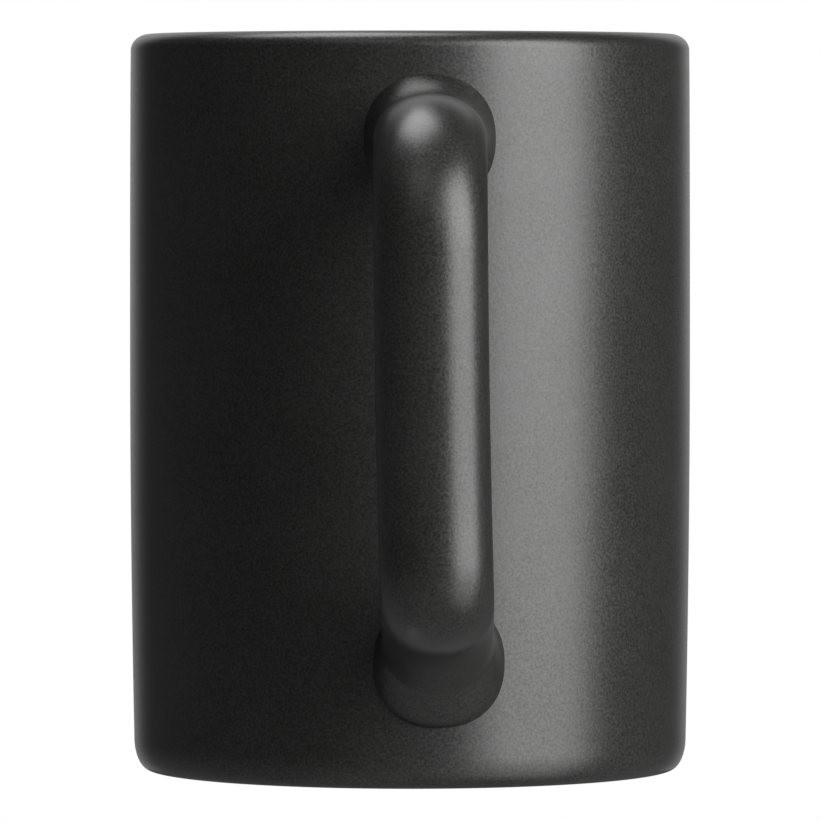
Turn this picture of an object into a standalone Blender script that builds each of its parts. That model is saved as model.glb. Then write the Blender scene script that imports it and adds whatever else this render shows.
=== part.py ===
"""A tall straight-sided ceramic mug with a loop handle.

Metres, +Z up. The origin is the middle of the foot, on the surface that the mug stands on, and
the handle points to -Y. The mug is a clay cup and a clay handle luted together with two slip
joints, under three coats of glaze: one over the outside and the lip, one inside, one on the handle.
"""

import math

import bmesh
import bpy
from mathutils import Vector

MM = 0.001

# Glaze, and the hairline kept between pieces that touch
GLAZE = 0.35 * MM
GAP = 0.10 * MM
UNDER_GLAZE = GLAZE + GAP

# Cup, measured over the glaze
HEIGHT = 105.0 * MM
BELLY_RADIUS = 40.0 * MM
BELLY_Z = 59.0 * MM
TOP_RADIUS = 39.86 * MM
LOW_RADIUS = 39.45 * MM
INNER_RADIUS = 35.45 * MM
FLOOR_Z = 5.6 * MM
FLOOR_CORNER = 8.0 * MM
LIP_OUTER = 2.70 * MM
LIP_INNER = TOP_RADIUS - LIP_OUTER - INNER_RADIUS
LIP_DROP = 2.35 * MM
LINER_TOP = 101.4 * MM

# Foot: the glaze turns under the wall and stops short of a bare, slightly proud ring
CORNER_INWARD = 2.20 * MM
CORNER_UP = 4.50 * MM
CORNER_Z = 4.62 * MM
FOOT_OUTER = 35.2 * MM
FOOT_INNER = 33.0 * MM
FOOT_RECESS = 0.8 * MM

# Handle, measured over the glaze. The handle sits a little to +X of the cup's axis and its lower
# end leans further that way.
SECTION_WIDTH = 15.4 * MM
SECTION_DEPTH = 12.0 * MM
UPPER_ROOT_Z = 90.0 * MM
LOWER_ROOT_Z = 17.6 * MM
GRIP_REACH = 68.0 * MM
GRIP_SLANT = 1.0 * MM
BEND_RADIUS = 15.0 * MM
LOW_BEND_RADIUS = 7.2 * MM
HEEL_Z = 26.1 * MM
SIDE_SHIFT = 2.75 * MM
SIDE_LEAN = 1.25 * MM

# The flared pad at each root of the handle
PAD_WIDTH = 18.2 * MM
PAD_HEIGHT = 17.8 * MM
PAD_SQUARENESS = 2.25
PAD_EDGE = 0.3 * MM
PAD_FLARE = 4.4 * MM
PAD_HOLLOW = 1.6
SLIP_TOP = 0.50 * MM
SLIP_INSET = 0.85 * MM
SEAT_INSET = 1.00 * MM

# Facets
CUP_SIDES = 60
SECTION_SIDES = 24


def clear_scene():
    for old in list(bpy.data.objects):
        bpy.data.objects.remove(old, do_unlink=True)


def material(name, colour, roughness, coat):
    made = bpy.data.materials.new(name)
    made.use_nodes = True
    shader = made.node_tree.nodes["Principled BSDF"]
    shader.inputs["Base Color"].default_value = (*colour, 1.0)
    shader.inputs["Roughness"].default_value = roughness
    shader.inputs["Metallic"].default_value = 0.0
    shader.inputs["Coat Weight"].default_value = coat
    made.diffuse_color = (*colour, 1.0)
    return made


def new_object(name, mesh, finish, parent):
    mesh.materials.append(finish)
    made = bpy.data.objects.new(name, mesh)
    bpy.context.scene.collection.objects.link(made)
    made.parent = parent
    return made


# ---- Cup: turned shapes -------------------------------------------------------------------------


def wall_radius(z):
    """Outer radius of the glazed wall: barely barrelled, narrowing a little more towards the foot."""
    if z > BELLY_Z:
        along = (z - BELLY_Z) / (HEIGHT - BELLY_Z)
        return BELLY_RADIUS - (BELLY_RADIUS - TOP_RADIUS) * along**2
    along = (BELLY_Z - z) / (BELLY_Z - CORNER_Z)
    return BELLY_RADIUS - (BELLY_RADIUS - LOW_RADIUS) * along**2


def arc(centre_r, centre_z, radius_r, radius_z, start, end, steps):
    """Points along an elliptical arc, the angles in degrees counted up from the outward radius."""
    points = []
    for i in range(steps + 1):
        angle = math.radians(start + (end - start) * i / steps)
        r = centre_r + radius_r * math.cos(angle)
        z = centre_z + radius_z * math.sin(angle)
        points.append((r, z))
    return points


def lip(inset, start):
    """The rounded lip from its inner side over the crest to the outer wall."""
    centre_r = TOP_RADIUS - LIP_OUTER
    centre_z = HEIGHT - LIP_DROP
    inner = arc(centre_r, centre_z, LIP_INNER - inset, LIP_DROP - inset, start, 90, 3)
    outer = arc(centre_r, centre_z, LIP_OUTER - inset, LIP_DROP - inset, 90, 0, 4)
    return inner + outer[1:]


def outer_wall(inset):
    """The outer wall from below the lip down to the foot's corner, then round that corner."""
    top = HEIGHT - LIP_DROP
    wall = []
    for share in (0.84, 0.56, 0.34, 0.16):
        z = CORNER_Z + (top - CORNER_Z) * share
        wall.append((wall_radius(z) - inset, z))
    centre_r = LOW_RADIUS - CORNER_INWARD
    corner = arc(centre_r, CORNER_Z, CORNER_INWARD - inset, CORNER_UP - inset, 0, -90, 5)
    return wall + corner


def inner_wall(outset):
    """The inside, from the middle of the floor out round its corner and up to the liner's top."""
    centre_r = INNER_RADIUS - FLOOR_CORNER
    centre_z = FLOOR_Z + FLOOR_CORNER
    floor = [(0.0, FLOOR_Z - outset), (centre_r * 0.55, FLOOR_Z - outset)]
    corner = arc(centre_r, centre_z, FLOOR_CORNER + outset, FLOOR_CORNER + outset, -90, 0, 5)
    return floor + corner + [(INNER_RADIUS + outset, HEIGHT * 0.55)]


def turned(name, profile, looped, finish, parent):
    """A solid of revolution. The profile runs down its outer side."""
    mesh = bpy.data.meshes.new(name)
    edges = [(i, i + 1) for i in range(len(profile) - 1)]
    if looped:
        edges.append((len(profile) - 1, 0))
    mesh.from_pydata([(r, 0.0, z) for r, z in profile], edges, [])
    made = new_object(name, mesh, finish, parent)
    screw = made.modifiers.new("Turn", "SCREW")
    screw.axis = "Z"
    screw.angle = math.tau
    screw.steps = CUP_SIDES
    screw.render_steps = CUP_SIDES
    screw.use_merge_vertices = True
    screw.merge_threshold = 0.00001
    screw.use_smooth_shade = True
    return made


def make_cup(clay, parent):
    """Clay wall, floor and foot in one: it was turned as a single piece."""
    profile = inner_wall(UNDER_GLAZE)
    profile.append((INNER_RADIUS + UNDER_GLAZE, HEIGHT - LIP_DROP - 6 * MM))
    profile += lip(UNDER_GLAZE, 180)
    profile += outer_wall(UNDER_GLAZE)
    step_z = CORNER_Z - CORNER_UP + UNDER_GLAZE
    profile.append((FOOT_OUTER + 0.3 * MM, step_z))
    profile.append((FOOT_OUTER, step_z * 0.5))
    profile.append((FOOT_OUTER - 0.3 * MM, 0.0))
    profile.append((FOOT_INNER + 0.3 * MM, 0.0))
    profile.append((FOOT_INNER - 0.2 * MM, FOOT_RECESS))
    profile.append((0.0, FOOT_RECESS))
    return turned("cup_body", profile, False, clay, parent)


def make_outer_glaze(finish, parent):
    """The coat over the outside: from just inside the lip, down the wall and round under it."""
    end = LINER_TOP + GAP
    under = [(INNER_RADIUS + GLAZE, end)] + lip(GLAZE, 180) + outer_wall(GLAZE)
    over = [(INNER_RADIUS, end)] + lip(0.0, 180) + outer_wall(0.0)
    profile = list(reversed(under)) + over
    return turned("outer_glaze", profile, True, finish, parent)


def make_inner_glaze(finish, parent):
    """The poured coat inside, up to where the outer coat comes over the lip."""
    over = inner_wall(0.0) + [(INNER_RADIUS, LINER_TOP)]
    under = inner_wall(GLAZE) + [(INNER_RADIUS + GLAZE, LINER_TOP)]
    profile = over + list(reversed(under))
    return turned("inner_glaze", profile, False, finish, parent)


# ---- Handle: a section carried along a path -----------------------------------------------------


def side_shift(z):
    """How far the handle's middle is to +X of the cup's axis at this height."""
    down = (UPPER_ROOT_Z - z) / (UPPER_ROOT_Z - LOWER_ROOT_Z)
    return SIDE_SHIFT + SIDE_LEAN * max(0.0, down) ** 2


def path_pieces():
    """The middle line in (reach, height), as Bezier pieces from the upper root to the lower."""
    bend = BEND_RADIUS * 0.5523
    low = LOW_BEND_RADIUS * 0.5523
    arm_z = UPPER_ROOT_Z + 0.2 * MM
    shoulder = Vector((GRIP_REACH - BEND_RADIUS, arm_z))
    grip_top = Vector((GRIP_REACH, arm_z - BEND_RADIUS))
    grip_foot = GRIP_REACH - GRIP_SLANT
    grip_low = Vector((grip_foot, HEEL_Z + LOW_BEND_RADIUS))
    heel = Vector((grip_foot - LOW_BEND_RADIUS, HEEL_Z))
    upper_root = Vector((wall_radius(UPPER_ROOT_Z), UPPER_ROOT_Z))
    lower_root = Vector((wall_radius(LOWER_ROOT_Z), LOWER_ROOT_Z))
    arm = (
        upper_root,
        upper_root + Vector((4.5 * MM, 0.0)),
        shoulder - Vector((4.5 * MM, 0.0)),
        shoulder,
    )
    top_bend = (
        shoulder,
        shoulder + Vector((bend, 0.0)),
        grip_top + Vector((0.0, bend)),
        grip_top,
    )
    grip = (
        grip_top,
        grip_top - Vector((0.0, 14.0 * MM)),
        grip_low + Vector((0.0, 14.0 * MM)),
        grip_low,
    )
    low_bend = (
        grip_low,
        grip_low - Vector((0.0, low)),
        heel + Vector((low, 0.0)),
        heel,
    )
    tail = (
        heel,
        heel - Vector((8.0 * MM, 0.0)),
        lower_root + Vector((6.2 * MM, 5.0 * MM)),
        lower_root,
    )
    return arm, top_bend, grip, low_bend, tail


def on_bezier(piece, t):
    """Point and direction at t along one piece."""
    a, b, c, d = piece
    s = 1.0 - t
    point = a * s**3 + b * (3 * s * s * t) + c * (3 * s * t * t) + d * t**3
    along = (b - a) * (s * s) + (c - b) * (2 * s * t) + (d - c) * (t * t)
    return point, along.normalized()


def where_reach(piece, reach):
    """The t at which an arm, one end of which is on the wall, is this far from the cup's axis."""
    low, high = 0.0, 1.0
    rising = piece[3].x > piece[0].x
    for _ in range(40):
        middle = (low + high) / 2
        if (on_bezier(piece, middle)[0].x < reach) == rising:
            low = middle
        else:
            high = middle
    return (low + high) / 2


def flare(height_over_wall):
    """0 on the plain handle, 1 at the pad's edge: hollow between them, square to the wall below."""
    if height_over_wall >= PAD_FLARE:
        return 0.0
    if height_over_wall <= PAD_EDGE:
        return 1.0
    return ((PAD_FLARE - height_over_wall) / (PAD_FLARE - PAD_EDGE)) ** PAD_HOLLOW


def handle_stations():
    """Cross-sections from root to root: middle, side axis, half sizes, squareness, hug, height.

    hug is 1 where a section follows the round wall and 0 where it is flat.
    """
    arm, top_bend, grip, low_bend, tail = path_pieces()
    near = [PAD_FLARE, PAD_FLARE * 0.70, PAD_FLARE * 0.45, PAD_FLARE * 0.31, PAD_EDGE, GAP]
    places = []
    for height in reversed(near):
        places.append((arm, where_reach(arm, wall_radius(UPPER_ROOT_Z) + height)))
    places += [(arm, 0.65)]
    places += [(top_bend, i / 7) for i in range(7)]
    places += [(grip, i / 3) for i in range(3)]
    places += [(low_bend, i / 7) for i in range(7)]
    places += [(tail, i / 5) for i in range(4)]
    for height in near:
        places.append((tail, where_reach(tail, wall_radius(LOWER_ROOT_Z) + height)))
    stations = []
    for piece, t in places:
        point, along = on_bezier(piece, t)
        outward = Vector((-along.y, along.x))
        if piece is arm:
            side, stretch, hug = Vector((0.0, 1.0)), 1.0, 1.0 - t
        elif piece is tail:
            side, stretch, hug = Vector((0.0, -1.0)), 1.0 / abs(along.x), t
        else:
            side, stretch, hug = outward, 1.0, 0.0
        root_z = UPPER_ROOT_Z if piece is arm else LOWER_ROOT_Z
        over_wall = point.x - wall_radius(root_z)
        share = flare(over_wall) if piece in (arm, tail) else 0.0
        if over_wall < PAD_FLARE:
            hug = 1.0
        # the pad's edge stands square on the wall, while the tail comes down to it at a slant
        point.y += (root_z - point.y) * share
        half_width = SECTION_WIDTH / 2
        half_depth = SECTION_DEPTH / 2 * stretch
        half_width += (PAD_WIDTH / 2 - half_width) * share
        half_depth += (PAD_HEIGHT / 2 - half_depth) * share
        squareness = 2.0 + (PAD_SQUARENESS - 2.0) * share
        stations.append((point, side, half_width, half_depth, squareness, hug, over_wall))
    return stations


def oval(angle, squareness):
    """Side and height shares of a point on an oval: an ellipse at squareness 2, boxier above."""
    across = math.cos(angle)
    up = math.sin(angle)
    power = 2.0 / squareness
    return math.copysign(abs(across) ** power, across), math.copysign(abs(up) ** power, up)


def on_wall(x, z, over_wall):
    """The point at x and z that lies this far over the cup's glazed wall, on the handle's side."""
    radius = wall_radius(z) + over_wall
    return Vector((x, -math.sqrt(radius * radius - x * x), z))


def section_point(station, angle):
    """A point on the glazed surface of the handle."""
    middle, side, half_width, half_depth, squareness, hug, over_wall = station
    across, up = oval(angle, squareness)
    x = side_shift(middle.y) + half_width * across
    reach = middle.x + side.x * half_depth * up
    z = middle.y + side.y * half_depth * up
    flat = Vector((x, -reach, z))
    return flat.lerp(on_wall(x, z, over_wall), hug)


def section_ring(stations, index, depth):
    """One ring of points, sunk below the glazed surface by depth."""
    before = stations[max(index - 1, 0)]
    after = stations[min(index + 1, len(stations) - 1)]
    here = stations[index]
    ring = []
    for i in range(SECTION_SIDES):
        angle = math.tau * i / SECTION_SIDES
        point = section_point(here, angle)
        around = section_point(here, angle + 0.01) - section_point(here, angle - 0.01)
        along = section_point(after, angle) - section_point(before, angle)
        ring.append(point - around.cross(along).normalized() * depth)
    return ring


def root_ring(z, half_width, half_height, over_wall):
    """The outline of a pad, laid on the wall round the root at this height."""
    ring = []
    for i in range(SECTION_SIDES):
        across, up = oval(math.tau * i / SECTION_SIDES, PAD_SQUARENESS)
        x = side_shift(z) + half_width * across
        ring.append(on_wall(x, z + half_height * up, over_wall))
    return ring


def reversed_round(ring):
    """The same ring counted the other way, as at the lower root, where the outer side faces down."""
    return [ring[0]] + ring[:0:-1]


def bridge(bm, first, second):
    """Quads between two rings of vertices."""
    for i in range(len(first)):
        j = (i + 1) % len(first)
        bm.faces.new((first[i], first[j], second[j], second[i]))


def close_on_wall(bm, ring, over_wall):
    """Fill a ring with rings of its own shape, all laid on the cup's round wall."""
    middle_x = sum(vertex.co.x for vertex in ring) / len(ring)
    middle_z = sum(vertex.co.z for vertex in ring) / len(ring)
    outer = ring
    for share in (0.66, 0.33):
        inner = []
        for vertex in ring:
            x = middle_x + (vertex.co.x - middle_x) * share
            z = middle_z + (vertex.co.z - middle_z) * share
            inner.append(bm.verts.new(on_wall(x, z, over_wall)))
        bridge(bm, outer, inner)
        outer = inner
    centre = bm.verts.new(on_wall(middle_x, middle_z, over_wall))
    for i in range(len(outer)):
        bm.faces.new((outer[i], outer[(i + 1) % len(outer)], centre))


def finish_mesh(bm, name):
    """Turn the faces outward, shade the round surfaces smooth and keep the rims crisp."""
    bmesh.ops.recalc_face_normals(bm, faces=bm.faces)
    mesh = bpy.data.meshes.new(name)
    bm.to_mesh(mesh)
    bm.free()
    mesh.shade_smooth()
    mesh.set_sharp_from_angle(angle=math.radians(40))
    return mesh


def make_handle(clay, parent):
    """The clay handle, whose ends are hollowed to the wall's curve and stand on the slip."""
    stations = handle_stations()
    seat = SLIP_TOP + GAP
    first = next(i for i, station in enumerate(stations) if station[-1] > PAD_EDGE + GAP)
    last = len(stations) - 1 - first
    half_width = PAD_WIDTH / 2 - SEAT_INSET
    half_height = PAD_HEIGHT / 2 - SEAT_INSET
    outlines = [root_ring(UPPER_ROOT_Z, half_width, half_height, seat)]
    outlines += [section_ring(stations, index, UNDER_GLAZE) for index in range(first, last + 1)]
    outlines.append(reversed_round(root_ring(LOWER_ROOT_Z, half_width, half_height, seat)))
    bm = bmesh.new()
    rings = [[bm.verts.new(point) for point in outline] for outline in outlines]
    for i in range(len(rings) - 1):
        bridge(bm, rings[i], rings[i + 1])
    close_on_wall(bm, rings[0], seat)
    close_on_wall(bm, rings[-1], seat)
    return new_object("handle", finish_mesh(bm, "handle"), clay, parent)


def make_handle_glaze(finish, parent):
    """The coat over the handle and the edges of both slip joints, open where it meets the wall."""
    stations = handle_stations()
    bm = bmesh.new()
    over, under = [], []
    for index in range(len(stations)):
        points = section_ring(stations, index, GLAZE)
        if index in (0, len(stations) - 1):
            points = [on_wall(point.x, point.z, GAP) for point in points]
        under.append([bm.verts.new(point) for point in points])
        over.append([bm.verts.new(point) for point in section_ring(stations, index, 0.0)])
    for i in range(len(stations) - 1):
        bridge(bm, over[i], over[i + 1])
        bridge(bm, under[i + 1], under[i])
    bridge(bm, under[0], over[0])
    bridge(bm, over[-1], under[-1])
    return new_object("handle_glaze", finish_mesh(bm, "handle_glaze"), finish, parent)


def make_slip_joint(name, z, slip, parent):
    """The saddle of joining slip between the clay wall and one end of the handle."""
    half_width = PAD_WIDTH / 2 - SLIP_INSET
    half_height = PAD_HEIGHT / 2 - SLIP_INSET
    bm = bmesh.new()
    low = [bm.verts.new(point) for point in root_ring(z, half_width, half_height, GAP - UNDER_GLAZE)]
    high = [bm.verts.new(point) for point in root_ring(z, half_width, half_height, SLIP_TOP)]
    bridge(bm, low, high)
    close_on_wall(bm, low, GAP - UNDER_GLAZE)
    close_on_wall(bm, high, SLIP_TOP)
    return new_object(name, finish_mesh(bm, name), slip, parent)


def cut_root_opening(coat, name, z):
    """Leave the wall's coat open where a slip joint reaches through it to the clay."""
    half_width = PAD_WIDTH / 2 - SLIP_INSET + GAP
    half_height = PAD_HEIGHT / 2 - SLIP_INSET + GAP
    bm = bmesh.new()
    rings = []
    for reach in (30 * MM, 50 * MM):
        outline = root_ring(z, half_width, half_height, 0.0)
        rings.append([bm.verts.new((point.x, -reach, point.z)) for point in outline])
    bridge(bm, rings[0], rings[1])
    bm.faces.new(rings[0])
    bm.faces.new(rings[1])
    bmesh.ops.recalc_face_normals(bm, faces=bm.faces)
    mesh = bpy.data.meshes.new(name)
    bm.to_mesh(mesh)
    bm.free()
    cutter = bpy.data.objects.new(name, mesh)
    bpy.context.scene.collection.objects.link(cutter)
    cutter.parent = coat.parent
    cutter.hide_render = True
    cutter.display_type = "WIRE"
    cut = coat.modifiers.new(name, "BOOLEAN")
    cut.operation = "DIFFERENCE"
    cut.solver = "EXACT"
    cut.object = cutter


# ---- The mug ------------------------------------------------------------------------------------


def main():
    clear_scene()
    mug = bpy.data.objects.new("mug", None)
    bpy.context.scene.collection.objects.link(mug)

    clay = material("bare_stoneware", (0.60, 0.54, 0.45), 0.85, 0.0)
    slip = material("joining_slip", (0.52, 0.46, 0.38), 0.90, 0.0)
    matt = material("matt_black_glaze", (0.012, 0.012, 0.011), 0.42, 0.0)
    matt_handle = material("matt_black_glaze_handle", (0.012, 0.012, 0.011), 0.42, 0.0)
    satin = material("satin_black_liner", (0.012, 0.012, 0.012), 0.18, 0.3)

    make_cup(clay, mug)
    make_handle(clay, mug)
    make_slip_joint("upper_slip_joint", UPPER_ROOT_Z, slip, mug)
    make_slip_joint("lower_slip_joint", LOWER_ROOT_Z, slip, mug)

    coat = make_outer_glaze(matt, mug)
    cut_root_opening(coat, "upper_root_opening", UPPER_ROOT_Z)
    cut_root_opening(coat, "lower_root_opening", LOWER_ROOT_Z)
    make_inner_glaze(satin, mug)
    make_handle_glaze(matt_handle, mug)


main()
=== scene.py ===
"""The finish of a tall straight-sided ceramic mug: clay, slip, three coats of glaze, and a studio.

Metres, +Z up, the handle towards -Y. The sections follow the making: the clay cup, the clay
handle, the slip between them, the liner glaze, the black matt glaze outside and on the handle.
"""

import math

import bmesh
import bpy
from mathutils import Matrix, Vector


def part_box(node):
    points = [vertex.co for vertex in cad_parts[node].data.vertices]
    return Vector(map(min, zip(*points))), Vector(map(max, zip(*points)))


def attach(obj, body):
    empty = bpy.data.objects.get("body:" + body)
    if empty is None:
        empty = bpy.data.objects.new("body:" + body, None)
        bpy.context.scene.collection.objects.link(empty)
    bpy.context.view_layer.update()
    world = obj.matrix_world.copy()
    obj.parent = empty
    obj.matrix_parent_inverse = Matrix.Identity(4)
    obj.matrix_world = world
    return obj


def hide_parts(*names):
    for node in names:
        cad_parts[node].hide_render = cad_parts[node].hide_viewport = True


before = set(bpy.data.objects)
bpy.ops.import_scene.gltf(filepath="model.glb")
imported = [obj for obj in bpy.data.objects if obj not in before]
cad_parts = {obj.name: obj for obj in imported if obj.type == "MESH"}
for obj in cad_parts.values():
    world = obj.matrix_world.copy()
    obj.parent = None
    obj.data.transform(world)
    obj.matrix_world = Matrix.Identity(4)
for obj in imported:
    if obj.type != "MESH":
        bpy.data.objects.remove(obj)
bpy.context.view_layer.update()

MM = 0.001


# ---- The clay cup -------------------------------------------------------------------------------
# The real piece is a cup of buff stoneware, wall, floor and foot in one. It is formed on the wheel,
# so every outline here is turned about the cup's axis. Its foot ring stays bare where it stands.

GLAZE = 0.35 * MM
GAP = 0.10 * MM
UNDER_GLAZE = GLAZE + GAP
CUP_SIDES = 240
CUP_CREASE = 38
WOBBLE = 0.02 * MM
SEAM = 0.001 * MM

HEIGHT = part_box("outer_glaze")[1].z
BELLY_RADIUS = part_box("outer_glaze")[1].x
BELLY_Z = 0.562 * HEIGHT
TOP_RADIUS = BELLY_RADIUS - 0.14 * MM
LOW_RADIUS = BELLY_RADIUS - 0.55 * MM
INNER_RADIUS = BELLY_RADIUS - 4.55 * MM
FLOOR_Z = 5.6 * MM
FLOOR_CORNER = 8.0 * MM
LIP_OUTER = 2.70 * MM
LIP_INNER = TOP_RADIUS - LIP_OUTER - INNER_RADIUS
LIP_DROP = 2.35 * MM
CORNER_INWARD = 2.20 * MM
CORNER_UP = 4.50 * MM
CORNER_Z = 4.62 * MM
FOOT_OUTER = 35.2 * MM
FOOT_INNER = 33.0 * MM
FOOT_RECESS = 0.8 * MM
FOOT_EDGE = 0.35 * MM
FOOT_STEP = 0.2 * MM
FOOT_COVE = 0.3 * MM
TRIMMING_STEP = 1.7 * MM
TRIMMING_DEPTH = 0.03 * MM


def wall_radius(z):
    """Outer radius of the glazed wall: barely barrelled, narrowing a little more to the foot."""
    if z > BELLY_Z:
        end, share = TOP_RADIUS, (z - BELLY_Z) / (HEIGHT - BELLY_Z)
    else:
        end, share = LOW_RADIUS, (BELLY_Z - z) / (BELLY_Z - CORNER_Z)
    return BELLY_RADIUS - (BELLY_RADIUS - end) * share**2


def arc(centre, radii, start, end, steps):
    """Points (radius, height) on an elliptical arc, its angles in degrees up from outwards."""
    points = []
    for i in range(steps + 1):
        angle = math.radians(start + (end - start) * i / steps)
        out = centre[0] + radii[0] * math.cos(angle)
        up = centre[1] + radii[1] * math.sin(angle)
        points.append((out, up))
    return points


def lip_outline(inset):
    """The rounded lip from its inner side over the crest to the outer wall."""
    centre = (TOP_RADIUS - LIP_OUTER, HEIGHT - LIP_DROP)
    inner = arc(centre, (LIP_INNER - inset, LIP_DROP - inset), 180, 90, 14)
    outer = arc(centre, (LIP_OUTER - inset, LIP_DROP - inset), 90, 0, 16)
    return inner + outer[1:]


def wall_outline(inset):
    """The outer wall from below the lip down to the foot's corner, then round that corner."""
    top = HEIGHT - LIP_DROP
    levels = [CORNER_Z + (top - CORNER_Z) * (1 - i / 24) for i in range(1, 24)]
    wall = [(wall_radius(z) - inset, z) for z in levels]
    centre = (LOW_RADIUS - CORNER_INWARD, CORNER_Z)
    return wall + arc(centre, (CORNER_INWARD - inset, CORNER_UP - inset), 0, -90, 18)


def inside_outline(outset):
    """The inside, from the middle of the floor out round its corner and up the wall."""
    centre = (INNER_RADIUS - FLOOR_CORNER, FLOOR_Z + FLOOR_CORNER)
    reach = FLOOR_CORNER + outset
    floor = [(centre[0] * i / 8, FLOOR_Z - outset) for i in range(8)]
    top = HEIGHT - LIP_DROP
    rise = [centre[1] + (top - centre[1]) * i / 12 for i in range(1, 12)]
    wall = [(INNER_RADIUS + outset, z) for z in rise]
    return floor + arc(centre, (reach, reach), -90, 0, 16) + wall


def foot_outline():
    """The bare foot: a ring with eased edges round a shallow recess that shows its trimming."""
    eased = (FOOT_EDGE, FOOT_EDGE)
    outline = [(FOOT_OUTER + FOOT_STEP, CORNER_Z - CORNER_UP + UNDER_GLAZE)]
    outline += arc((FOOT_OUTER - FOOT_EDGE, FOOT_EDGE), eased, 0, -90, 6)
    outline += arc((FOOT_INNER + FOOT_EDGE, FOOT_EDGE), eased, -90, -180, 6)
    rings = 96
    for i in range(rings + 1):
        radius = (FOOT_INNER - FOOT_COVE) * (1 - i / rings)
        groove = TRIMMING_DEPTH * (0.5 - 0.5 * math.cos(math.tau * radius / TRIMMING_STEP))
        outline.append((radius, FOOT_RECESS + groove))
    return outline


def turning_tree():
    """Turns an outline of linked points in the XZ plane into a round piece about the Z axis."""
    tree = bpy.data.node_groups.new("turn on the wheel", "GeometryNodeTree")
    face = tree.interface
    face.new_socket("Outline", in_out="INPUT", socket_type="NodeSocketGeometry")
    sides = face.new_socket("Sides", in_out="INPUT", socket_type="NodeSocketInt")
    sides.min_value = 3
    face.new_socket("Wobble", in_out="INPUT", socket_type="NodeSocketFloat")
    face.new_socket("Finish", in_out="INPUT", socket_type="NodeSocketMaterial")
    face.new_socket("Piece", in_out="OUTPUT", socket_type="NodeSocketGeometry")
    nodes = tree.nodes
    link = tree.links.new

    def math_node(operation, first, second):
        node = nodes.new("ShaderNodeMath")
        node.operation = operation
        for socket, value in zip(node.inputs, (first, second)):
            if isinstance(value, bpy.types.NodeSocket):
                link(value, socket)
            else:
                socket.default_value = value
        return node.outputs[0]

    given = nodes.new("NodeGroupInput").outputs
    count = nodes.new("GeometryNodeAttributeDomainSize")
    link(given["Outline"], count.inputs["Geometry"])
    around = math_node("ADD", given["Sides"], 1.0)
    grid = nodes.new("GeometryNodeMeshGrid")
    link(around, grid.inputs["Vertices X"])
    link(count.outputs["Point Count"], grid.inputs["Vertices Y"])

    # vertex n of the grid stands for outline point (n mod points) at side (n div points)
    index = nodes.new("GeometryNodeInputIndex").outputs[0]
    on_outline = math_node("MODULO", index, count.outputs["Point Count"])
    side = math_node("FLOOR", math_node("DIVIDE", index, count.outputs["Point Count"]), 0.0)
    turn = math_node("MULTIPLY", math_node("DIVIDE", side, given["Sides"]), math.tau)
    place = nodes.new("GeometryNodeSampleIndex")
    place.data_type = "FLOAT_VECTOR"
    place.domain = "POINT"
    link(given["Outline"], place.inputs["Geometry"])
    link(nodes.new("GeometryNodeInputPosition").outputs[0], place.inputs["Value"])
    link(on_outline, place.inputs["Index"])
    point = nodes.new("ShaderNodeSeparateXYZ")
    link(place.outputs[0], point.inputs[0])

    # the wheel never runs quite true: the radius swells a little twice and three times a turn
    twice = math_node("COSINE", math_node("MULTIPLY", turn, 2.0), 0.0)
    thrice = math_node("SINE", math_node("MULTIPLY", turn, 3.0), 0.0)
    inwards = math_node("SUBTRACT", math_node("ADD", twice, thrice), 2.0)
    swell = math_node("MULTIPLY", inwards, given["Wobble"])
    share = math_node("DIVIDE", point.outputs["X"], BELLY_RADIUS)
    radius = math_node("ADD", point.outputs["X"], math_node("MULTIPLY", swell, share))
    turned_point = nodes.new("ShaderNodeCombineXYZ")
    link(math_node("MULTIPLY", radius, math_node("COSINE", turn, 0.0)), turned_point.inputs["X"])
    link(math_node("MULTIPLY", radius, math_node("SINE", turn, 0.0)), turned_point.inputs["Y"])
    link(point.outputs["Z"], turned_point.inputs["Z"])
    placed = nodes.new("GeometryNodeSetPosition")
    link(grid.outputs["Mesh"], placed.inputs["Geometry"])
    link(turned_point.outputs[0], placed.inputs["Position"])

    merged = nodes.new("GeometryNodeMergeByDistance")
    merged.inputs["Distance"].default_value = SEAM
    link(placed.outputs[0], merged.inputs["Geometry"])
    real = nodes.new("GeometryNodeRealizeInstances")
    link(merged.outputs[0], real.inputs[0])
    finished = nodes.new("GeometryNodeSetMaterial")
    link(real.outputs[0], finished.inputs["Geometry"])
    link(given["Finish"], finished.inputs["Material"])
    link(finished.outputs[0], nodes.new("NodeGroupOutput").inputs["Piece"])
    return tree


def finish_piece(name, mesh, crease):
    """The finished piece: faces outwards, and smooth but for edges over crease degrees."""
    bm = bmesh.new()
    bm.from_mesh(mesh)
    bmesh.ops.recalc_face_normals(bm, faces=bm.faces)
    bm.to_mesh(mesh)
    bm.free()
    mesh.shade_smooth()
    mesh.set_sharp_from_angle(angle=math.radians(crease))
    piece = bpy.data.objects.new(name, mesh)
    bpy.context.scene.collection.objects.link(piece)
    return piece


def turned(name, outline, finish):
    """A turned piece. An outline that comes back to its first point makes a closed coat."""
    mesh = bpy.data.meshes.new(name + " outline")
    edges = [(i, i + 1) for i in range(len(outline) - 1)]
    mesh.from_pydata([(r, 0.0, z) for r, z in outline], edges, [])
    blank = bpy.data.objects.new(name + " outline", mesh)
    bpy.context.scene.collection.objects.link(blank)
    wheel = blank.modifiers.new("wheel", "NODES")
    wheel.node_group = turning
    for socket, value in (("Sides", CUP_SIDES), ("Wobble", WOBBLE), ("Finish", finish)):
        wheel[turning.interface.items_tree[socket].identifier] = value
    graph = bpy.context.evaluated_depsgraph_get()
    result = bpy.data.meshes.new_from_object(blank.evaluated_get(graph), depsgraph=graph)
    result.name = name
    bpy.data.objects.remove(blank)
    bpy.data.meshes.remove(mesh)
    return finish_piece(name, result, CUP_CREASE)


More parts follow.
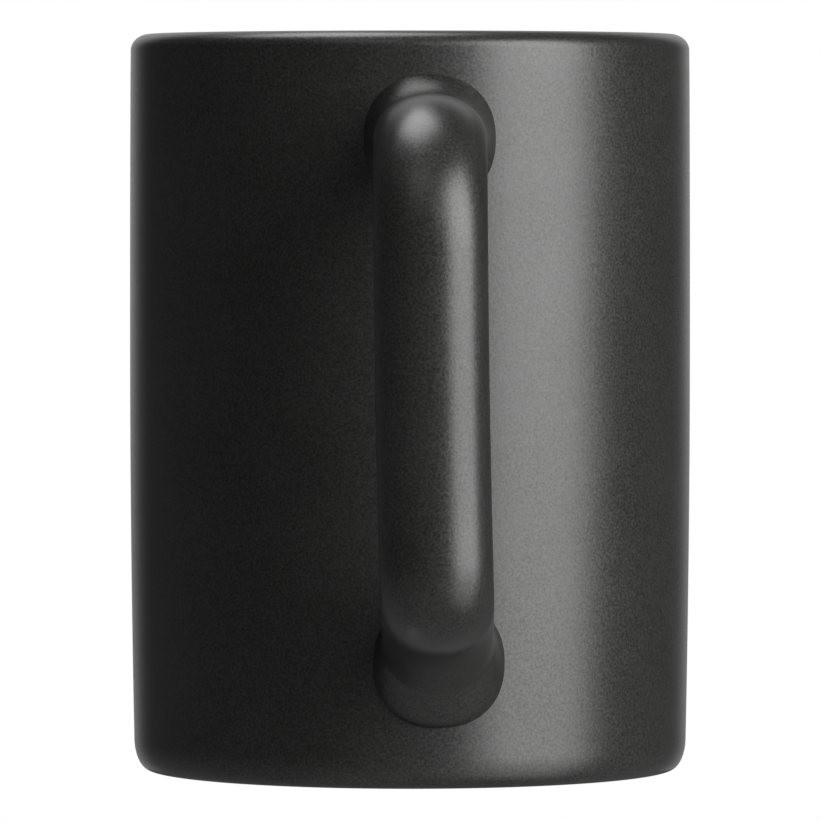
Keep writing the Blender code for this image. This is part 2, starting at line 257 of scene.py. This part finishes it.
def group_of(name, inputs, outputs):
    """An empty shader group with number sockets: the group, what it is given, what it gives."""
    group = bpy.data.node_groups.new(name, "ShaderNodeTree")
    for label, value in inputs:
        socket = group.interface.new_socket(label, in_out="INPUT", socket_type="NodeSocketFloat")
        socket.default_value = value
    for label in outputs:
        group.interface.new_socket(label, in_out="OUTPUT", socket_type="NodeSocketFloat")
    given = group.nodes.new("NodeGroupInput").outputs
    wanted = group.nodes.new("NodeGroupOutput").inputs
    return group, given, wanted


def wire(tree, kind, settings=(), **inputs):
    """A new node with its settings made, and each input, by name or as _number, linked or set."""
    node = tree.nodes.new(kind)
    for name, value in settings:
        setattr(node, name, value)
    for name, value in inputs.items():
        numbered = name[1:].isdigit()
        socket = node.inputs[int(name[1:]) if numbered else name.replace("_", " ")]
        if isinstance(value, bpy.types.NodeSocket):
            tree.links.new(value, socket)
        else:
            socket.default_value = value
    return node


def fired_grain_group():
    """The skin of fired clay or glaze: fine grain, slow patches, and scattered pinholes."""
    group, given, wanted = group_of(
        "fired grain",
        (
            ("Grain size", 0.25 * MM),
            ("Patch size", 14 * MM),
            ("Pinhole spacing", 3.0 * MM),
            ("Pinhole size", 0.1),
        ),
        ("Grain", "Patches", "Pinholes"),
    )
    place = group.nodes.new("ShaderNodeTexCoord").outputs["Object"]

    def pattern(kind, size, **values):
        scale = wire(group, "ShaderNodeMath", (("operation", "DIVIDE"),), _0=1.0, _1=given[size])
        return wire(group, kind, Vector=place, Scale=scale.outputs[0], **values)

    grain = pattern("ShaderNodeTexNoise", "Grain size", Detail=2.0, Roughness=0.55)
    patches = pattern("ShaderNodeTexNoise", "Patch size", Detail=3.0, Roughness=0.5)
    cells = pattern("ShaderNodeTexVoronoi", "Pinhole spacing", Randomness=1.0)
    holes = wire(
        group,
        "ShaderNodeMapRange",
        (("interpolation_type", "SMOOTHSTEP"),),
        Value=cells.outputs["Distance"],
        From_Min=0.0,
        From_Max=given["Pinhole size"],
        To_Min=1.0,
        To_Max=0.0,
    )
    group.links.new(grain.outputs["Fac"], wanted["Grain"])
    group.links.new(patches.outputs["Fac"], wanted["Patches"])
    group.links.new(holes.outputs[0], wanted["Pinholes"])
    return group


def new_material(name, roughness, specular):
    """A material whose uniform values are set on its shader."""
    made = bpy.data.materials.new(name)
    made.use_nodes = True
    shader = made.node_tree.nodes["Principled BSDF"]
    shader.inputs["Roughness"].default_value = roughness
    shader.inputs["Specular IOR Level"].default_value = specular
    return made, made.node_tree, shader


def skin(tree, **values):
    """The fired grain with this finish's own sizes."""
    node = tree.nodes.new("ShaderNodeGroup")
    node.node_tree = fired_grain
    for name, value in values.items():
        node.inputs[name.replace("_", " ")].default_value = value
    return node.outputs


def between(tree, noise, low, high):
    """Noise, most of which lies from 0.3 to 0.7, spread from low to high."""
    ends = {"From_Min": 0.3, "From_Max": 0.7, "To_Min": low, "To_Max": high}
    return wire(tree, "ShaderNodeMapRange", Value=noise, **ends).outputs[0]


def mixed(tree, share, first, second):
    """One colour into another, by a mask."""
    node = wire(tree, "ShaderNodeMix", (("data_type", "RGBA"),), _0=share)
    for index, value in ((6, first), (7, second)):
        if isinstance(value, bpy.types.NodeSocket):
            tree.links.new(value, node.inputs[index])
        else:
            node.inputs[index].default_value = (*value, 1.0)
    return node.outputs[2]


def raised(tree, height, depth, settings=(), **inputs):
    """The normal of a surface that this height raises by up to depth."""
    values = {"Strength": 1.0, "Distance": depth, "Height": height, **inputs}
    return wire(tree, "ShaderNodeBump", settings, **values).outputs[0]


CLAY_ROUGHNESS = 0.85
CLAY_SPREAD = 0.07
CLAY_GLOSS = 0.3
CLAY_RELIEF = 0.05 * MM
CLAY_PATCH = 9 * MM
CUP_PALE = (0.62, 0.55, 0.45)
CUP_DARK = (0.52, 0.45, 0.36)
SPECK_SPACING = 1.6 * MM
SPECK_SIZE = 0.09
IRON_SHADE = 0.25


def make_clay(name, light, dark, grain_size):
    """Bare fired clay: dull, with fine grog, small dark iron specks and open pinholes."""
    made, tree, shader = new_material(name, CLAY_ROUGHNESS, CLAY_GLOSS)
    marks = skin(
        tree,
        Grain_size=grain_size,
        Patch_size=CLAY_PATCH,
        Pinhole_spacing=SPECK_SPACING,
        Pinhole_size=SPECK_SIZE,
    )
    grain, holes = marks["Grain"], marks["Pinholes"]
    body = mixed(tree, between(tree, marks["Patches"], 0.0, 1.0), light, dark)
    iron = tuple(IRON_SHADE * value for value in dark)
    dull = between(tree, grain, CLAY_ROUGHNESS - CLAY_SPREAD, CLAY_ROUGHNESS + CLAY_SPREAD)
    height = wire(tree, "ShaderNodeMath", (("operation", "SUBTRACT"),), _0=grain, _1=holes)
    tree.links.new(mixed(tree, holes, body, iron), shader.inputs["Base Color"])
    tree.links.new(dull, shader.inputs["Roughness"])
    tree.links.new(raised(tree, height.outputs[0], CLAY_RELIEF), shader.inputs["Normal"])
    return made


turning = turning_tree()
fired_grain = fired_grain_group()
stoneware = make_clay("buff stoneware", CUP_PALE, CUP_DARK, 0.35 * MM)

cup_outline = inside_outline(UNDER_GLAZE)
cup_outline += lip_outline(UNDER_GLAZE)
cup_outline += wall_outline(UNDER_GLAZE)
cup_outline += foot_outline()
cup = turned("clay_cup", cup_outline, stoneware)
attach(cup, "root")
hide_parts("cup_body")


# ---- The clay handle ----------------------------------------------------------------------------
# The real piece is a pressed loop of the same clay, oval in section. Each end swells to a pad that
# is hollowed to the cup's curve. It stands a little to one side, and more so towards its foot.

HANDLE_SIDES = 72
HANDLE_CREASE = 40
SECTION_WIDTH = 15.4 * MM
SECTION_DEPTH = 12.0 * MM
UPPER_ROOT_Z = 90.0 * MM
LOWER_ROOT_Z = 17.6 * MM
GRIP_REACH = -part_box("handle_glaze")[0].y - SECTION_DEPTH / 2
GRIP_SLANT = 1.0 * MM
GRIP_EASE = 14.0 * MM
ARM_RISE = 0.2 * MM
ARM_EASE = 4.5 * MM
TAIL_EASE = 8.0 * MM
TAIL_END = (6.2 * MM, 5.0 * MM)
BEND_RADIUS = 15.0 * MM
LOW_BEND_RADIUS = 7.2 * MM
QUARTER_CIRCLE = 0.5523
HEEL_Z = 26.1 * MM
SIDE_SHIFT = 2.75 * MM
SIDE_LEAN = 1.25 * MM
PAD_WIDTH = 18.2 * MM
PAD_HEIGHT = 17.8 * MM
PAD_SQUARENESS = 2.25
PAD_FLARE = 4.4 * MM
PAD_HOLLOW = 1.6
PAD_SINK = 0.06 * MM
SLIP_TOP = 0.50 * MM
SEAT_INSET = 1.25 * MM
PRESSED_PALE = (0.60, 0.53, 0.43)
PRESSED_DARK = (0.53, 0.46, 0.37)


def side_shift(z):
    """How far the handle's middle is to +X of the cup's axis at this height."""
    down = (UPPER_ROOT_Z - z) / (UPPER_ROOT_Z - LOWER_ROOT_Z)
    return SIDE_SHIFT + SIDE_LEAN * max(0.0, down) ** 2


def path_pieces():
    """The handle's middle line in (reach, height), as Bezier pieces from root to root."""
    bend = BEND_RADIUS * QUARTER_CIRCLE
    low = LOW_BEND_RADIUS * QUARTER_CIRCLE
    arm_z = UPPER_ROOT_Z + ARM_RISE
    foot_reach = GRIP_REACH - GRIP_SLANT
    shoulder = Vector((GRIP_REACH - BEND_RADIUS, arm_z))
    grip_top = Vector((GRIP_REACH, arm_z - BEND_RADIUS))
    grip_foot = Vector((foot_reach, HEEL_Z + LOW_BEND_RADIUS))
    heel = Vector((foot_reach - LOW_BEND_RADIUS, HEEL_Z))
    upper_root = Vector((wall_radius(UPPER_ROOT_Z), UPPER_ROOT_Z))
    lower_root = Vector((wall_radius(LOWER_ROOT_Z), LOWER_ROOT_Z))

    def piece(start, leave, arrive, end):
        return start, start + Vector(leave), end + Vector(arrive), end

    return (
        piece(upper_root, (ARM_EASE, 0.0), (-ARM_EASE, 0.0), shoulder),
        piece(shoulder, (bend, 0.0), (0.0, bend), grip_top),
        piece(grip_top, (0.0, -GRIP_EASE), (0.0, GRIP_EASE), grip_foot),
        piece(grip_foot, (0.0, -low), (low, 0.0), heel),
        piece(heel, (-TAIL_EASE, 0.0), TAIL_END, lower_root),
    )


def on_bezier(piece, t):
    """Point and direction at t along one piece."""
    a, b, c, d = piece
    s = 1.0 - t
    point = a * s**3 + b * (3 * s * s * t) + c * (3 * s * t * t) + d * t**3
    along = (b - a) * (s * s) + (c - b) * (2 * s * t) + (d - c) * (t * t)
    return point, along.normalized()


def where_reach(piece, reach):
    """The t at which an arm, one end of which is on the wall, is this far from the cup's axis."""
    low, high = 0.0, 1.0
    rising = piece[3].x > piece[0].x
    for _ in range(40):
        middle = (low + high) / 2
        if (on_bezier(piece, middle)[0].x < reach) == rising:
            low = middle
        else:
            high = middle
    return (low + high) / 2


def flare(over_wall):
    """1 where the pad meets the wall, 0 on the plain handle, and a hollow sweep between."""
    along = (PAD_FLARE - over_wall) / PAD_FLARE
    return min(1.0, max(0.0, along)) ** PAD_HOLLOW


def handle_stations():
    """Cross-sections from root to root: middle, side axis, half sizes, squareness, hug, height.

    hug is 1 where a section follows the round wall and 0 where it is flat.
    """
    arm, top_bend, grip, low_bend, tail = path_pieces()
    upper_wall = wall_radius(UPPER_ROOT_Z)
    lower_wall = wall_radius(LOWER_ROOT_Z)
    near = [-PAD_SINK] + [PAD_FLARE * (i / 24) ** 1.4 for i in range(25)]
    places = [(arm, where_reach(arm, upper_wall + height)) for height in near]
    arm_start = places[-1][1]
    places += [(arm, arm_start + (1 - arm_start) * i / 7) for i in range(1, 7)]
    places += [(top_bend, i / 24) for i in range(24)]
    places += [(grip, i / 16) for i in range(16)]
    places += [(low_bend, i / 26) for i in range(26)]
    tail_end = where_reach(tail, lower_wall + PAD_FLARE)
    places += [(tail, tail_end * i / 12) for i in range(12)]
    places += [(tail, where_reach(tail, lower_wall + height)) for height in reversed(near)]
    stations = []
    for piece, t in places:
        point, along = on_bezier(piece, t)
        if piece is arm:
            side, stretch, hug = Vector((0.0, 1.0)), 1.0, 1.0 - t
        elif piece is tail:
            side, stretch, hug = Vector((0.0, -1.0)), 1.0 / abs(along.x), t
        else:
            side, stretch, hug = Vector((-along.y, along.x)), 1.0, 0.0
        root_z = UPPER_ROOT_Z if piece is arm else LOWER_ROOT_Z
        over_wall = point.x - wall_radius(root_z)
        share = flare(over_wall)
        if over_wall < PAD_FLARE:
            hug = 1.0
        half_width = SECTION_WIDTH / 2
        half_depth = SECTION_DEPTH / 2 * stretch
        half_width += (PAD_WIDTH / 2 - half_width) * share
        half_depth += (PAD_HEIGHT / 2 - half_depth) * share
        point.y += (root_z - point.y) * share
        squareness = 2.0 + (PAD_SQUARENESS - 2.0) * share
        stations.append((point, side, half_width, half_depth, squareness, hug, over_wall))
    return stations


def oval(angle, squareness):
    """Side and height shares of a point on an oval: an ellipse at squareness 2, boxier above."""
    across = math.cos(angle)
    up = math.sin(angle)
    power = 2.0 / squareness
    return math.copysign(abs(across) ** power, across), math.copysign(abs(up) ** power, up)


def on_wall(x, z, over_wall):
    """The point at x and z that lies this far over the cup's glazed wall, on the handle's side."""
    radius = wall_radius(z) + over_wall
    return Vector((x, -math.sqrt(radius * radius - x * x), z))


def section_point(station, angle):
    """A point on the glazed surface of the handle."""
    middle, side, half_width, half_depth, squareness, hug, over_wall = station
    across, up = oval(angle, squareness)
    x = side_shift(middle.y) + half_width * across
    reach = middle.x + side.x * half_depth * up
    z = middle.y + side.y * half_depth * up
    return Vector((x, -reach, z)).lerp(on_wall(x, z, over_wall), hug)


def section_ring(stations, index, depth):
    """One ring of points, sunk below the glazed surface by depth."""
    station = stations[index]
    before = stations[max(index - 1, 0)]
    after = stations[min(index + 1, len(stations) - 1)]
    nudge = 0.01
    ring = []
    for i in range(HANDLE_SIDES):
        angle = math.tau * i / HANDLE_SIDES
        point = section_point(station, angle)
        around = section_point(station, angle + nudge) - section_point(station, angle - nudge)
        along = section_point(after, angle) - section_point(before, angle)
        ring.append(point - around.cross(along).normalized() * depth)
    return ring


def root_ring(z, half_width, half_height, over_wall):
    """The outline of a pad, laid on the wall round the root at this height."""
    ring = []
    for i in range(HANDLE_SIDES):
        across, up = oval(math.tau * i / HANDLE_SIDES, PAD_SQUARENESS)
        x = side_shift(z) + half_width * across
        ring.append(on_wall(x, z + half_height * up, over_wall))
    return ring


def bridge(bm, first, second):
    """Quads between two rings of vertices."""
    for i in range(len(first)):
        j = (i + 1) % len(first)
        bm.faces.new((first[i], first[j], second[j], second[i]))


def close_on_wall(bm, ring, over_wall):
    """Fill a ring with rings of its own shape, all laid on the cup's round wall."""
    middle_x = sum(vertex.co.x for vertex in ring) / len(ring)
    middle_z = sum(vertex.co.z for vertex in ring) / len(ring)
    outer = ring
    for share in (0.8, 0.6, 0.4, 0.2):
        inner = []
        for vertex in ring:
            x = middle_x + (vertex.co.x - middle_x) * share
            z = middle_z + (vertex.co.z - middle_z) * share
            inner.append(bm.verts.new(on_wall(x, z, over_wall)))
        bridge(bm, outer, inner)
        outer = inner
    centre = bm.verts.new(on_wall(middle_x, middle_z, over_wall))
    for i in range(len(outer)):
        bm.faces.new((outer[i], outer[(i + 1) % len(outer)], centre))


def mesh_piece(bm, name, finish, crease):
    """The piece that a finished bmesh makes."""
    mesh = bpy.data.meshes.new(name)
    bm.to_mesh(mesh)
    bm.free()
    mesh.materials.append(finish)
    return finish_piece(name, mesh, crease)


stations = handle_stations()
handle_clay = make_clay("pressed stoneware", PRESSED_PALE, PRESSED_DARK, 0.30 * MM)
seat = SLIP_TOP + GAP
first = next(i for i, station in enumerate(stations) if station[-1] > SEAT_INSET)
pad = (PAD_WIDTH / 2 - SEAT_INSET, PAD_HEIGHT / 2 - SEAT_INSET)
upper_end = root_ring(UPPER_ROOT_Z, *pad, seat)
lower_end = root_ring(LOWER_ROOT_Z, *pad, seat)
outlines = [upper_end]
outlines += [section_ring(stations, i, UNDER_GLAZE) for i in range(first, len(stations) - first)]
outlines.append([lower_end[0]] + lower_end[:0:-1])
bm = bmesh.new()
rings = [[bm.verts.new(point) for point in outline] for outline in outlines]
for i in range(len(rings) - 1):
    bridge(bm, rings[i], rings[i + 1])
close_on_wall(bm, rings[0], seat)
close_on_wall(bm, rings[-1], seat)
clay_handle = mesh_piece(bm, "clay_handle", handle_clay, HANDLE_CREASE)
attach(clay_handle, "root")
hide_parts("handle")


# ---- The slip joints ----------------------------------------------------------------------------
# Both ends of the handle are luted to the cup with a saddle of slip, the same clay let down with
# water. It dries smooth and a little darker, and the glaze covers its edge.

SLIP_FOOT = GAP - UNDER_GLAZE
SLIP_INSET = 1.10 * MM
SLIP_PALE = (0.52, 0.46, 0.38)
SLIP_DARK = (0.46, 0.40, 0.33)

slip = make_clay("joining slip", SLIP_PALE, SLIP_DARK, 0.20 * MM)
saddle = (PAD_WIDTH / 2 - SLIP_INSET, PAD_HEIGHT / 2 - SLIP_INSET)
for node, z in (("upper_slip_joint", UPPER_ROOT_Z), ("lower_slip_joint", LOWER_ROOT_Z)):
    bm = bmesh.new()
    low = [bm.verts.new(point) for point in root_ring(z, *saddle, SLIP_FOOT)]
    high = [bm.verts.new(point) for point in root_ring(z, *saddle, SLIP_TOP)]
    bridge(bm, low, high)
    close_on_wall(bm, low, SLIP_FOOT)
    close_on_wall(bm, high, SLIP_TOP)
    joint = mesh_piece(bm, node.replace("slip_joint", "slip"), slip, HANDLE_CREASE)
    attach(joint, "root")
    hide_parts(node)


# ---- The liner glaze ----------------------------------------------------------------------------
# The inside is lined with a poured black glaze, smoother than the coat outside. It ends just under
# the lip, where the outer coat comes over.

LINER_TOP = 101.4 * MM
LINER_EDGE = 1.0 * MM
GLAZE_GLOSS = 0.60
GLAZE_DARK = (0.0183, 0.0183, 0.0176)
GLAZE_LIGHT = (0.0239, 0.0238, 0.0231)
CRYSTAL_SHINE = 0.58
CRYSTAL_SIZE = 0.34 * MM
RIPPLE_SIZE = 11 * MM
RIPPLE_DEPTH = 0.02 * MM
PIT_SPACING = 7 * MM
PIT_SIZE = 0.018
PIT_DEPTH = 0.03 * MM


def make_glaze(name, roughness, spread, grain_depth):
    """Black glaze: fine iron crystals that break its gloss, slow ripples and rare pinholes."""
    made, tree, shader = new_material(name, roughness, GLAZE_GLOSS)
    marks = skin(
        tree,
        Grain_size=CRYSTAL_SIZE,
        Patch_size=RIPPLE_SIZE,
        Pinhole_spacing=PIT_SPACING,
        Pinhole_size=PIT_SIZE,
    )
    grain, patches = marks["Grain"], marks["Patches"]
    colour = mixed(tree, between(tree, patches, 0.0, 1.0), GLAZE_DARK, GLAZE_LIGHT)
    ripple = raised(tree, patches, RIPPLE_DEPTH)
    rough = raised(tree, grain, grain_depth, Normal=ripple)
    pitted = raised(tree, marks["Pinholes"], PIT_DEPTH, (("invert", True),), Normal=rough)
    tree.links.new(colour, shader.inputs["Base Color"])
    tree.links.new(between(tree, grain, CRYSTAL_SHINE, 0.0), shader.inputs["Metallic"])
    gloss = between(tree, grain, roughness - spread, roughness + spread)
    tree.links.new(gloss, shader.inputs["Roughness"])
    tree.links.new(pitted, shader.inputs["Normal"])
    return made


def liner_side(outset):
    """One side of the liner, from the middle of the floor to its top edge."""
    side = [point for point in inside_outline(outset) if point[1] < LINER_TOP - LINER_EDGE]
    return side + [(INNER_RADIUS + outset, LINER_TOP)]


liner_glaze = make_glaze("satin black liner", roughness=0.16, spread=0.02, grain_depth=0.0006 * MM)
liner = turned("glaze_inside", liner_side(0.0) + liner_side(GLAZE)[::-1], liner_glaze)
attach(liner, "root")
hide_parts("inner_glaze")


# ---- The matt glaze outside ---------------------------------------------------------------------
# The cup is dipped in a matt black glaze, which goes over the lip, down the wall and round the
# foot's corner, where it is wiped back.

COAT_START = LINER_TOP + GAP


def coat_side(inset):
    """One side of the outer coat, from inside the lip over it and down to the foot's corner."""
    return [(INNER_RADIUS + inset, COAT_START)] + lip_outline(inset) + wall_outline(inset)


matt_glaze = make_glaze("matt black glaze", roughness=0.35, spread=0.04, grain_depth=0.012 * MM)
coat = coat_side(0.0) + coat_side(GLAZE)[::-1] + coat_side(0.0)[:1]
outside = turned("glaze_outside", coat, matt_glaze)
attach(outside, "root")
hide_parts("outer_glaze")


# ---- The matt glaze on the handle ---------------------------------------------------------------
# The same dip covers the handle, both pads and the edges of the slip. Its two ends are tucked into
# the coat on the wall, which it runs into without a seam.

COAT_TUCK = 0.02 * MM
COAT_CREASE = 50

bm = bmesh.new()
over, under = [], []
for i in range(len(stations)):
    points = section_ring(stations, i, GLAZE)
    if i in (0, len(stations) - 1):
        points = [on_wall(point.x, point.z, -COAT_TUCK) for point in points]
    under.append([bm.verts.new(point) for point in points])
    over.append([bm.verts.new(point) for point in section_ring(stations, i, 0.0)])
for i in range(len(stations) - 1):
    bridge(bm, over[i], over[i + 1])
    bridge(bm, under[i + 1], under[i])
bridge(bm, under[0], over[0])
bridge(bm, over[-1], under[-1])
handle_coat = mesh_piece(bm, "glaze_handle", matt_glaze, COAT_CREASE)
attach(handle_coat, "root")
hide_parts("handle_glaze")


# ---- The studio ---------------------------------------------------------------------------------
# A white table with a little polish, evenly white where it is seen. For rays off the mug it glows
# as painted light: a painted reflection of a lit table in the glaze, and a painted bounce that
# lights the mug's underside. A tall soft box stands to the right, with two weak fills in front, a
# soft box overhead and a wide pale screen behind.

TABLE_RADIUS = 6.0
TABLE_SEEN = 1.0
TABLE_REFLECTED_PAINTED_LIGHT = 0.45
TABLE_BOUNCE_PAINTED_LIGHT = 0.35
TABLE_POLISH = (0.7, 0.7, 0.7, 1.0)
TABLE_ROUGHNESS = 0.1
ROOM_GLOW = 0.055
PAPER_GLOW = 1.0
WHITE = (1.0, 1.0, 1.0, 1.0)
# name, place, aim, width and height in metres, watts
SOFT_BOXES = (
    ("right soft box", (0.945, -0.725, 0.675), (0.0, 0.0, 0.675), 1.03, 1.35, 36.0),
    ("front fill", (0.36, -1.15, 0.75), (0.0, 0.0, 0.1), 0.45, 0.5, 0.9),
    ("top fill", (-0.30, -0.70, 0.92), (0.0, 0.0, 0.05), 0.5, 0.5, 0.8),
    ("overhead soft box", (-0.20, 0.27, 1.08), (0.0, 0.0, 0.05), 0.56, 0.62, 7.4),
    ("back screen", (0.0, 1.5, 0.6), (0.0, 0.0, 0.6), 1.6, 1.4, 6.0),
)
CAMERA_PLACE = Vector((0.0, -1.125, 0.089))
CAMERA_AIM = Vector((0.0, 0.0, 0.05135))
CAMERA_LENS = 345.8
CAMERA_SENSOR = 36.0
CAMERA_RANGE = (0.05, 20.0)


def set_up(name, data, place, aim):
    """A lamp or a camera at its place, turned to its aim."""
    stand = bpy.data.objects.new(name, data)
    bpy.context.scene.collection.objects.link(stand)
    stand.location = place
    stand.rotation_mode = "QUATERNION"
    stand.rotation_quaternion = (Vector(aim) - Vector(place)).to_track_quat("-Z", "Y")
    return stand


for name, place, aim, width, height, power in SOFT_BOXES:
    light = bpy.data.lights.new(name, "AREA")
    light.shape = "RECTANGLE"
    light.size = width
    light.size_y = height
    light.energy = power
    set_up(name, light, place, aim).visible_camera = False

camera_data = bpy.data.cameras.new("camera")
camera_data.sensor_width = CAMERA_SENSOR
camera_data.lens = CAMERA_LENS
camera_data.clip_start, camera_data.clip_end = CAMERA_RANGE
bpy.context.scene.camera = set_up("camera", camera_data, CAMERA_PLACE, CAMERA_AIM)

table_mesh = bpy.data.meshes.new("table")
bm = bmesh.new()
bmesh.ops.create_circle(bm, cap_ends=True, segments=96, radius=TABLE_RADIUS)
bm.to_mesh(table_mesh)
bm.free()
table = bpy.data.objects.new("table", table_mesh)
bpy.context.scene.collection.objects.link(table)
table_top = bpy.data.materials.new("white table")
table_top.use_nodes = True
tree = table_top.node_tree
tree.nodes.clear()


def either(tree, share, first, second):
    """One shader into another, by a share or by the kind of ray."""
    shaders = {"_1": first.outputs[0], "_2": second.outputs[0]}
    return wire(tree, "ShaderNodeMixShader", _0=share, **shaders)


ray = tree.nodes.new("ShaderNodeLightPath").outputs
below = tree.nodes.new("ShaderNodeNewGeometry").outputs["Backfacing"]
grazing = tree.nodes.new("ShaderNodeLayerWeight").outputs["Facing"]
seen = wire(tree, "ShaderNodeEmission", Color=WHITE, Strength=TABLE_SEEN)
# painted reflection: where the table faces a ray off the glaze it glows, with real polish only at
# grazing angles
reflected_painted_light = wire(tree, "ShaderNodeEmission", Color=WHITE, Strength=TABLE_REFLECTED_PAINTED_LIGHT)
# painted bounce: the table glows for all other rays and so lights the mug's underside
bounce_painted_light = wire(tree, "ShaderNodeEmission", Color=WHITE, Strength=TABLE_BOUNCE_PAINTED_LIGHT)
polish = wire(tree, "ShaderNodeBsdfGlossy", Color=TABLE_POLISH, Roughness=TABLE_ROUGHNESS)
clear = wire(tree, "ShaderNodeBsdfTransparent")
sheen = either(tree, grazing, reflected_painted_light, polish)
unseen = either(tree, ray["Is Glossy Ray"], bounce_painted_light, sheen)
above = either(tree, ray["Is Camera Ray"], unseen, seen)
whole = either(tree, below, above, clear)
wire(tree, "ShaderNodeOutputMaterial", Surface=whole.outputs[0])
table_mesh.materials.append(table_top)

world = bpy.data.worlds.new("studio")
bpy.context.scene.world = world
world.use_nodes = True
tree = world.node_tree
tree.nodes.clear()
ray = tree.nodes.new("ShaderNodeLightPath").outputs
room = wire(tree, "ShaderNodeBackground", Color=WHITE, Strength=ROOM_GLOW)
paper = wire(tree, "ShaderNodeBackground", Color=WHITE, Strength=PAPER_GLOW)
sky = either(tree, ray["Is Camera Ray"], room, paper)
wire(tree, "ShaderNodeOutputWorld", Surface=sky.outputs[0])
bpy.context.scene.view_settings.view_transform = "Standard"
